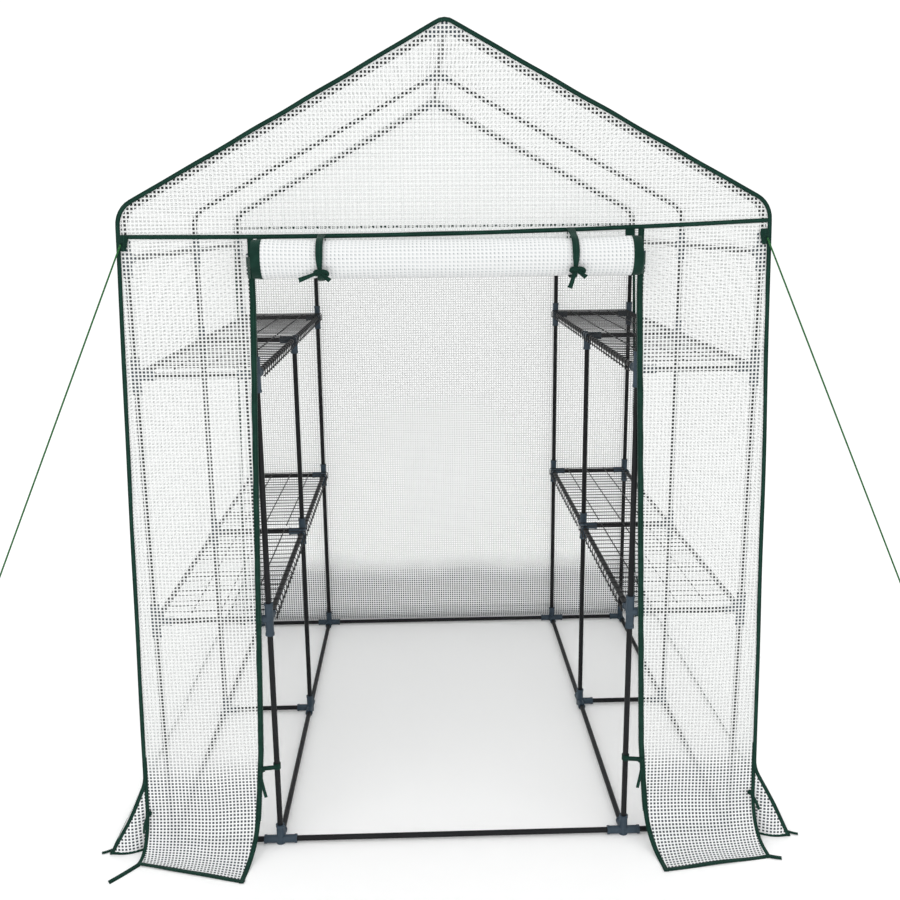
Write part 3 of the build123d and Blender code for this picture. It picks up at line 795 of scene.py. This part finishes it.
# ---- bindings of every edge ----
def end_edge(grid, facing, seed):
    """The binding of the canopy's front (facing -1) or rear (1) edge. It lies flat in the end's plane, on
    the inner side of the outline."""
    line, along_cloth = edge_of(grid, "first_column" if facing < 0 else "last_column")
    tangent = unit(np.gradient(line, axis=0))
    in_plane = np.stack([tangent[:, 2], 0 * tangent[:, 0], -tangent[:, 0]], 1)
    return binding(line + (0, facing * 0.0022, 0), in_plane + 0.15 * along_cloth, TAPE_WIDTH, seed)


def foot_edge(grid, which, seed):
    """The binding of a panel's side edge, only from just above its flap to its end."""
    line, inward = edge_of(grid, which)
    low = line[:, 2] < 0.26
    return binding(line[low], inward[low], TAPE_WIDTH, seed)


canopy_strips = [end_edge(canopy_grid, -1, 60), end_edge(canopy_grid, 1, 61),
                 binding(*edge_of(canopy_grid, "first_row"), HEM_WIDTH, 64),
                 binding(*edge_of(canopy_grid, "last_row"), HEM_WIDTH, 65)]
canopy_binding = piece("canopy_binding", canopy_strips, TAPE)

seam, seam_up = edge_of(gable_grid, "first_row")
gable_binding = piece("gable_binding", [binding(seam + (0, -0.0016, -0.005), seam_up, TAPE_WIDTH, 70)], TAPE)

for side, name in ((-1, "left"), (1, "right")):
    grid = front_grids[side]
    strips = [binding(*edge_of(grid, "first_column"), HEM_WIDTH, 72), foot_edge(grid, "last_column", 73),
              binding(*edge_of(grid, "last_row"), HEM_WIDTH, 74)]
    piece(f"{name}_front_binding", strips, TAPE)

rear_seam, rear_up = edge_of(rear_top, "first_row")
rear_strips = [foot_edge(rear_grid, "first_column", 80), foot_edge(rear_grid, "last_column", 81),
               binding(*edge_of(rear_grid, "last_row"), HEM_WIDTH, 82),
               binding(rear_seam + (0, 0.0016, -0.005), rear_up, TAPE_WIDTH, 84)]
piece("rear_binding", rear_strips, TAPE)


# ---- turned-in ends of the side skirts ----
def turned_end(side, facing, rows=26, columns=14):
    """The end of a side skirt, turned in towards the panel's foot: t runs down, w from the skirt's slanting
    edge to the panel, and the cloth bellies outwards by a half sine of w that grows downwards."""
    edge = canopy_grid[:, 0 if facing < 0 else -1]
    edge = edge[(edge[:, 0] * side > 0) & (edge[:, 2] < SIDE_FOOT_Z + 0.01)]
    edge = resample(edge[np.argsort(-edge[:, 2])], rows)
    inner = np.stack([side * (side_reach(np.maximum(edge[:, 2], 0.03)) - 0.003),
                      0 * edge[:, 0] - facing * (PANEL_Y + 0.001), edge[:, 2]], 1)
    w, t = np.linspace(0, 1, columns)[None, :, None], np.linspace(0, 1, rows)[:, None, None]
    points = edge[:, None] * (1 - w) + inner[:, None] * w + np.sin(pi * w) * t * np.array((0, facing * 0.012, 0))
    return points, points[..., ::2].copy(), False


end_grids = {(side, facing): turned_end(side, facing) for side in (-1, 1) for facing in (-1, 1)}
turned_ends = piece("skirt_ends", list(end_grids.values()), LOW_MESH)
foot_line = [binding(grid[-1], np.broadcast_to((0.0, 0.3 * -facing, 1.0), grid[-1].shape), TAPE_WIDTH, 66)
             for (side, facing), (grid, uv, closed) in end_grids.items()]
end_binding = piece("skirt_end_binding", foot_line, TAPE)

# ---- rolled-up door ----
TURNS = 8.6
WRAP_STEP = 0.0040                     # between one turn of the roll and the next


def wrap(x, angle, lift):
    """The rolled door: a spiral whose radius loses WRAP_STEP a turn, starting at the back of the roll
    (angle 0) and going over its top. The ribbons pinch it by a bell curve each, the outer turns
    have creases, and lift moves the surface out."""
    turn = angle / (2 * pi)
    pinch = np.exp(-((np.abs(x) - TIE_X) / 0.020) ** 2) * 0.0035 * (turn < 2.2)
    crease = 0.0011 * ripple(x * 0.8, ROLL_R * angle, 0.09, 90) + 0.0007 * ripple(x * 0.2, ROLL_R * angle, 0.03, 91)
    end = 0.0015 * np.sin(pi * np.clip((np.abs(x) - ROLL_HALF + 0.05) / 0.05, 0, 1))
    radius = ROLL_R - 0.0016 - turn * WRAP_STEP + (crease - pinch) * np.exp(-turn / 1.5) + end + lift
    sag = -0.0020 * np.cos(pi * x / (2 * ROLL_HALF)) + 0.0015 * ripple(x, 0 * x, 0.5, 92)
    return np.stack(np.broadcast_arrays(x, ROLL_Y + radius * np.cos(angle), ROLL_Z + sag + radius * np.sin(angle)), -1)


def wrapped(x_low, x_high, rows, turns, lift, per_turn=44):
    """A grid of the spiral between two places along the roll, with uv along the cloth."""
    x = np.linspace(x_low, x_high, rows)[:, None]
    angle = np.linspace(0, 2 * pi * turns, int(per_turn * turns) + 1)[None, :]
    travel = ROLL_R * angle - WRAP_STEP * angle ** 2 / (4 * pi)
    uv = np.stack(np.broadcast_arrays(x, SEAM_Z - ROLL_Z + travel), -1)
    return wrap(x, angle, lift), uv, False


BAND_WIDTH = 0.021                     # of the tape along the door's side hems
roll = piece("door_roll_cloth", [wrapped(-ROLL_HALF + 0.001, ROLL_HALF - 0.001, 150, TURNS, 0.0)], ROLLED, "door_roll")
roll_bands = [wrapped(low, low + BAND_WIDTH, 9, TURNS, lift)
              for low in (-ROLL_HALF, ROLL_HALF - BAND_WIDTH) for lift in (0.0007, -0.0007)]
bands = piece("door_roll_bands", roll_bands, TAPE, "door_roll")
for part in (roll, bands):
    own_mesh(part)
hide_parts("door_roll")

# ---- the stretch of door above the roll ----
def door_sheet_points(x_low, x_high, columns, lift, rows=26):
    """From the seam down to the back of the roll, with shallow gathers that grow downwards."""
    x = np.linspace(x_low, x_high, columns)[None, :]
    t = np.linspace(0, 1, rows)[:, None]
    top = seam_height(x) - 0.001
    z = top + t * (ROLL_Z - top)
    y = PANEL_Y + 0.0004 + t * (ROLL_Y + ROLL_R - 0.0016 - PANEL_Y) + 0.0010 * t * ripple(x, 0 * z, 0.12, 95) - lift
    points = np.stack(np.broadcast_arrays(x, y, z), -1)
    uv = np.stack(np.broadcast_arrays(x, z), -1)
    return points, uv


sheet_half = ROLL_HALF - 0.003
sheet_grid, sheet_uv = door_sheet_points(-sheet_half, sheet_half, 130, 0.0)
door_film = mesh_film("door_film", 0.16, 0.30, flat=True)
door_sheet = piece("door_top_cloth", [(sheet_grid, sheet_uv, False)], door_film, None)
hem_grids = [door_sheet_points(low, low + BAND_WIDTH, 8, lift)
             for low in (-sheet_half, sheet_half - BAND_WIDTH) for lift in (0.0008, -0.0008)]
door_hems = piece("door_top_hems", [(points, uv, False) for points, uv in hem_grids], TAPE, None)
for part in (door_sheet, door_hems):
    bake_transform(part)
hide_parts("door_sheet")


# ---- ribbons, straps and patches ----
def band(line, side, width, thick=0.0009, curl=0.0):
    """A ribbon along a line: a flattened loop of eight points whose width lies along side; curl lifts
    its edges by the square of their distance from the middle."""
    along = distances(line)
    tangent = unit(np.gradient(line, axis=0))
    side = np.broadcast_to(np.asarray(side, float), line.shape)
    side = unit(side - tangent * (side * tangent).sum(1)[:, None])
    normal = np.cross(tangent, side)
    loop = np.array([(-0.5, 0), (-0.44, 0.5), (0, 0.5), (0.44, 0.5), (0.5, 0), (0.44, -0.5), (0, -0.5), (-0.44, -0.5)])
    width = np.broadcast_to(width, along.shape)[:, None]
    across = loop[:, 0][None, :] * width
    height = loop[:, 1][None, :] * thick + curl * 4 * loop[:, 0][None, :] ** 2
    points = line[:, None] + across[..., None] * side[:, None] + height[..., None] * normal[:, None]
    turned = np.concatenate([across, across[:, :1]], 1) + TAPE_WIDTH * 0.5
    uv = np.stack(np.broadcast_arrays(along[:, None], turned), -1)
    return points, uv, True


def lump(centre, radii, seed):
    """A knot: an ellipsoid whose radius waves as sin(3u + 2v), like wraps of ribbon pulled tight."""
    u, v = np.linspace(0, 2 * pi, 28, endpoint=False)[None, :], np.linspace(0.05, pi - 0.05, 16)[:, None]
    swell = 1 + 0.14 * np.sin(3 * u + 2 * v + seed) + 0.05 * np.sin(7 * v + seed)
    shape = np.stack(np.broadcast_arrays(np.sin(v) * np.cos(u), np.sin(v) * np.sin(u), np.cos(v)), -1)
    points = np.asarray(centre) + shape * swell[..., None] * np.asarray(radii)
    turns = np.linspace(0, 0.05, 29)[None, :]
    uv = np.stack(np.broadcast_arrays(v * 0.008, turns), -1)
    return points[:, ::-1], uv, True


def facing_front(line, twist):
    """A ribbon's width direction that shows its face to the front, turned about its line by twist."""
    tangent = unit(np.gradient(line, axis=0))
    flat = unit(np.cross(tangent, (0.0, 1.0, 0.0)))
    return cos(twist) * flat + sin(twist) * np.cross(tangent, flat)


TIE_R = ROLL_R + 0.0012


def round_roll(x):
    """A ribbon's line in the YZ plane: from the seam in front of the door, over the roll's front, under
    it and up behind the door to the seam again. Both straight runs are tangents of the circle."""
    start = np.array((PANEL_Y - 0.002 - ROLL_Y, seam_height(x) + 0.003 - ROLL_Z))
    heading, opening = atan2(start[1], start[0]), np.arccos(TIE_R / np.hypot(*start))
    angles = np.linspace(heading + opening, heading + 2 * pi - opening, 60)
    circle = np.stack([np.cos(angles), np.sin(angles)], 1) * TIE_R
    circle[:, 0] = np.minimum(circle[:, 0], start[0] + 0.004)
    loop = np.concatenate([[start], circle, [start + (0.0045, 0)]])
    return resample(np.stack([0 * loop[:, 0] + x, loop[:, 0] + ROLL_Y, loop[:, 1] + ROLL_Z], 1), 90)


def tie(x, tails):
    """One ribbon with its knot, a bow loop on each side and two hanging tails."""
    line = round_roll(x)
    along = distances(line)
    knot = np.array((x, ROLL_Y - TIE_R * cos(radians(34)) - 0.003, ROLL_Z - TIE_R * sin(radians(34))))
    near = np.exp(-(np.linalg.norm(line - knot, axis=1) / 0.020) ** 2)
    width = 0.0185 - 0.003 * smooth(along, 0, 0.05) - 0.006 * near
    parts = [band(line, (1, 0, 0), width, 0.0011, -0.0006)]
    for turn, size in ((-1, 0.35), (1, 0.60)):
        loop = [knot + size * np.array(step) for step in (
            (0, 0, 0), (turn * 0.010, -0.008, 0.004), (turn * 0.024, -0.010, 0.001), (turn * 0.030, -0.006, -0.006),
            (turn * 0.021, -0.001, -0.011), (turn * 0.008, 0.000, -0.006), (0, 0, 0))]
        path = spline_line("bow_line", loop, 0.002)
        parts.append(band(path, facing_front(path, 0.5), 0.0110, 0.0010, 0.0005))
    for end in tails:
        end = np.array(end)
        middle = (knot + end) / 2 + (0, -0.006, 0)
        path = spline_line("tail_line", [knot, middle, end], 0.002)
        widths = np.linspace(0.0065, 0.0110, len(path))
        parts.append(band(path, facing_front(path, 0.3), widths, 0.0010, 0.0006))
    parts.append(lump(knot + (0, -0.003, 0), (0.0054, 0.0042, 0.0052), x))
    return parts


TAIL_Y = ROLL_Y - ROLL_R * 0.86
ties = piece("door_ribbons", tie(-TIE_X, [(-0.318, TAIL_Y, 1.409), (-0.252, TAIL_Y, 1.408)])
             + tie(TIE_X, [(0.262, TAIL_Y + 0.004, 1.386), (0.296, TAIL_Y, 1.409)]), TAPE)
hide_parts("door_ties")
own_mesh(ties)

strap_z = (strap_low[2] + strap_high[2]) / 2
strap_parts = []
for side in (-1, 1):
    post = np.array((side * INNER_X, -FRAME_Y, strap_z))
    turn = np.linspace(0, 2 * pi, 40)
    ring = post + 0.0086 * np.stack([np.cos(turn), np.sin(turn), 0 * turn], 1)
    strap_parts.append(band(ring, (0, 0, 1), 0.016, 0.0012))
    hem = np.array((side * (hem_reach(strap_z) + 0.004), PANEL_Y - 0.0026, strap_z))
    run = [post + (side * -0.004, -0.0085, 0), post + (side * 0.012, -0.0120, 0.002), hem + (side * 0.004, 0, 0)]
    path = spline_line("strap_line", run, 0.002)
    strap_parts.append(band(path, (0.1, 0, 1), 0.0125, 0.0010))
    run = [hem + (0, -0.001, -0.02), hem + (side * -0.006, -0.008, -0.045), hem + (side * -0.012, -0.010, -0.072)]
    tail = spline_line("strap_tail", run, 0.002)
    strap_parts.append(band(tail, (1, 0, 0.2), 0.0080, 0.0009, 0.0004))
    strap_parts.append(lump(hem + (side * -0.006, -0.004, 0), (0.006, 0.004, 0.006), side))
straps = piece("hem_ribbons", strap_parts, TAPE)
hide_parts("hem_straps")

tape_parts = []
tails = {-1: [[(-0.752, -0.726, 0.105), (-0.764, -0.733, 0.088), (-0.766, -0.742, 0.060)],
              [(-0.770, -0.785, 0.004), (-0.793, -0.815, 0.003), (-0.824, -0.850, 0.003)]],
         1: [[(0.748, -0.726, 0.120), (0.760, -0.735, 0.108), (0.768, -0.744, 0.082)],
             [(0.764, -0.818, 0.004), (0.782, -0.826, 0.004), (0.800, -0.829, 0.003)]]}
for side in (-1, 1):
    for path, width in zip(tails[side], (0.0075, 0.0100)):
        line = spline_line("skirt_tail", path, 0.002)
        tape_parts.append(band(line, (0.0, 0.9, 0.35) if width > 0.009 else (0, 0.4, 1), width, 0.0012, 0.0002))
    tape_parts.append(lump(tails[side][0][0], (0.0055, 0.0045, 0.0060), side))
    hem_end = [(side * 0.853, -0.722, 0.004), (side * 0.864, -0.729, 0.003), (side * 0.876, -0.733, 0.003)]
    tape_parts.append(band(spline_line("skirt_tail", hem_end, 0.002), (0.0, 1.0, 0.25), 0.0080, 0.0012, 0.0002))
tapes = piece("skirt_ribbons", tape_parts, TAPE)
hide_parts("skirt_tapes")

patch_z = (patch_low[2] + patch_high[2]) / 2
patch_parts = []
for side in (-1, 1):
    top = np.array((side * (patch_high[0] - 0.010), PANEL_Y - 0.0040, patch_z + 0.020))
    path = np.linspace(top, top + (side * 0.003, 0, -0.034), 16)
    width = np.interp(np.linspace(0, 1, 16), [0, 0.3, 1], [0.015, 0.021, 0.012])
    patch_parts.append(band(path, (1, 0, 0), width, 0.0024))
    turn = np.linspace(0, 2 * pi, 30)
    eye = np.array(ROPE_EXIT) * (side, 1, 1) + (side * -0.0035, 0.0010, 0)
    ring = eye + 0.0055 * np.stack([np.cos(turn), 0 * turn, np.sin(turn)], 1)
    patch_parts.append(rope_surface(ring, 0.0019))
patches = piece("rope_eyes", patch_parts, TAPE)
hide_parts("rope_patches")


# ---- zips ----
def teeth(line):
    """A coil of zip teeth along an edge: a thin tube whose radius, 1.1 mm on average, beats once for each tooth."""
    along = distances(line)
    line = resample(line, int(along[-1] / 0.0011))
    far = distances(line)[:, None]
    angle = np.linspace(0, 2 * pi, 7)[None, :-1]
    _, across, up = frames_along(line)
    radius = 0.0011 * (1 + 0.38 * np.sin(2 * pi * far / 0.0044)) + 0 * angle
    points = line[:, None] + radius[..., None] * (np.cos(angle)[..., None] * across[:, None]
                                                  + np.sin(angle)[..., None] * up[:, None])
    uv = np.stack(np.broadcast_arrays(far, np.linspace(0, 0.003, 7)[None, :]), -1)
    return points, uv, True


zip_parts = []
for side in (-1, 1):
    edge = front_grids[side][:, 0]
    upright = edge[(edge[:, 2] > 0.03) & (edge[:, 1] > PANEL_Y - 0.012)] + (side * -0.0016, -0.0002, 0)
    zip_parts.append(teeth(upright))
piece("zip_teeth", zip_parts, LACQUER)
